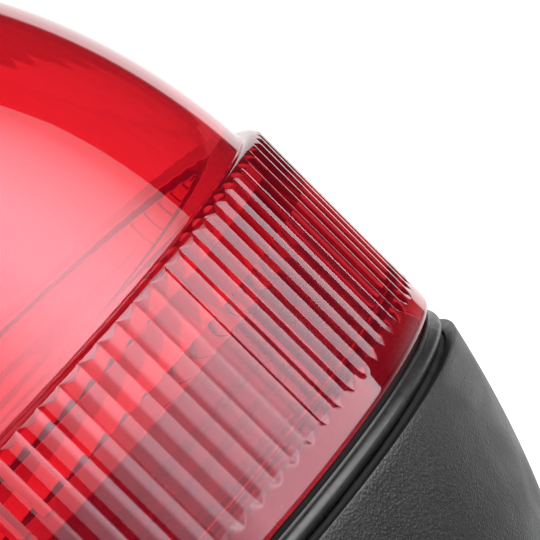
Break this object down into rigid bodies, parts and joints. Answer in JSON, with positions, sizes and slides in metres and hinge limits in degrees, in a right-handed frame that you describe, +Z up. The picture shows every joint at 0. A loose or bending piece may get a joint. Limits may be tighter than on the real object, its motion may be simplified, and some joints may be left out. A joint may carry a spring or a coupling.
{
  "type": "barricade warning light",
  "caption": "Battery warning light with a fluted red screw-on dome lens, a grained black bowl housing and a saddle bracket with a hand screw.",
  "frame": {"origin": "on the ground under the lamp's axis, midway between the bracket's feet", "axes": "+Z up along the lamp's axis; the bracket's slot runs along Y, the clamp screw lies along X with its knob at +X, and the switch faces +Y"},
  "size_m": [0.1404, 0.1404, 0.2393],
  "materials": {
    "red_lens": "transparent red polycarbonate, polished",
    "grained_black": "fine leathery moulded grain",
    "satin_black": "satin moulded",
    "rubber": "matt",
    "white_plastic": "satin white, reflective",
    "bracket_steel": "galvanised",
    "zinc": "bright zinc plate",
    "brass": "plain",
    "circuit_board": "solder mask",
    "led_epoxy": "clear epoxy over phosphor",
    "amber_plastic": "tinted window",
    "cell_sleeve": "plain printed sleeve"
  },
  "bodies": {
    "base": {"housing_seal": "rubber", "foot_gasket": "rubber", "jaw_pad": "rubber", "collar": "satin_black", "reflector_liner": "satin_black", "battery_holder": "satin_black", "battery_cover": "satin_black", "switch_body": "satin_black", "switch_bezel": "satin_black", "housing": "grained_black", "reflector": "white_plastic", "light_column": "white_plastic", "column_cap": "white_plastic", "collar_screw_1": "zinc", "collar_screw_2": "zinc", "collar_screw_3": "zinc", "collar_screw_4": "zinc", "reflector_screw_1": "zinc", "reflector_screw_2": "zinc", "reflector_screw_3": "zinc", "led_1": "led_epoxy", "led_2": "led_epoxy", "led_3": "led_epoxy", "led_4": "led_epoxy", "led_5": "led_epoxy", "led_6": "led_epoxy", "control_board": "circuit_board", "photocell": "amber_plastic", "d_cell_1": "cell_sleeve", "d_cell_2": "cell_sleeve", "d_cell_3": "cell_sleeve", "d_cell_4": "cell_sleeve", "contact_spring_1": "zinc", "contact_spring_2": "zinc", "contact_spring_3": "zinc", "contact_spring_4": "zinc", "contact_plate_1": "brass", "contact_plate_2": "brass", "threaded_insert_1": "brass", "threaded_insert_2": "brass", "switch_nut": "zinc", "bracket_bolt_1": "zinc", "bracket_bolt_2": "zinc", "bracket_washer_1": "zinc", "bracket_washer_2": "zinc", "clamp_nut": "zinc", "saddle_bracket": "bracket_steel"},
    "lens_ring": {"lens_seal": "rubber"},
    "lens": {"lens_dome": "red_lens"},
    "button": {"switch_button": "rubber"},
    "swivel_pad": {"clamp_pad": "zinc", "pad_facing": "rubber"},
    "hand_screw": {"clamp_screw": "zinc", "clamp_knob": "satin_black"}
  },
  "joints": [
    {"name": "lens_rise", "type": "slide", "parent": "base", "child": "lens_ring", "axis": [0, 0, 1], "range_m": [0, 0.0157]},
    {"name": "lens_turn", "type": "hinge", "parent": "lens_ring", "child": "lens", "pos_m": [0, 0, 0.15], "axis": [0, 0, 1], "range_deg": [0, 1440]},
    {"name": "button_press", "type": "slide", "parent": "base", "child": "button", "axis": [0, -1, 0], "range_m": [0, 0.002], "stiffness_N_per_m": 500, "springref_m": -0.002},
    {"name": "clamp_advance", "type": "slide", "parent": "base", "child": "swivel_pad", "axis": [-1, 0, 0], "range_m": [0, 0.0225]},
    {"name": "clamp_turn", "type": "hinge", "parent": "swivel_pad", "child": "hand_screw", "pos_m": [0.045, 0, 0.019], "axis": [-1, 0, 0], "range_deg": [0, 2712]}
  ],
  "couplings": [
    {"joint": "lens_rise", "follows": "lens_turn", "m_per_rad": 0.0006207},
    {"joint": "clamp_turn", "follows": "clamp_advance", "rad_per_m": 2094.4}
  ]
}
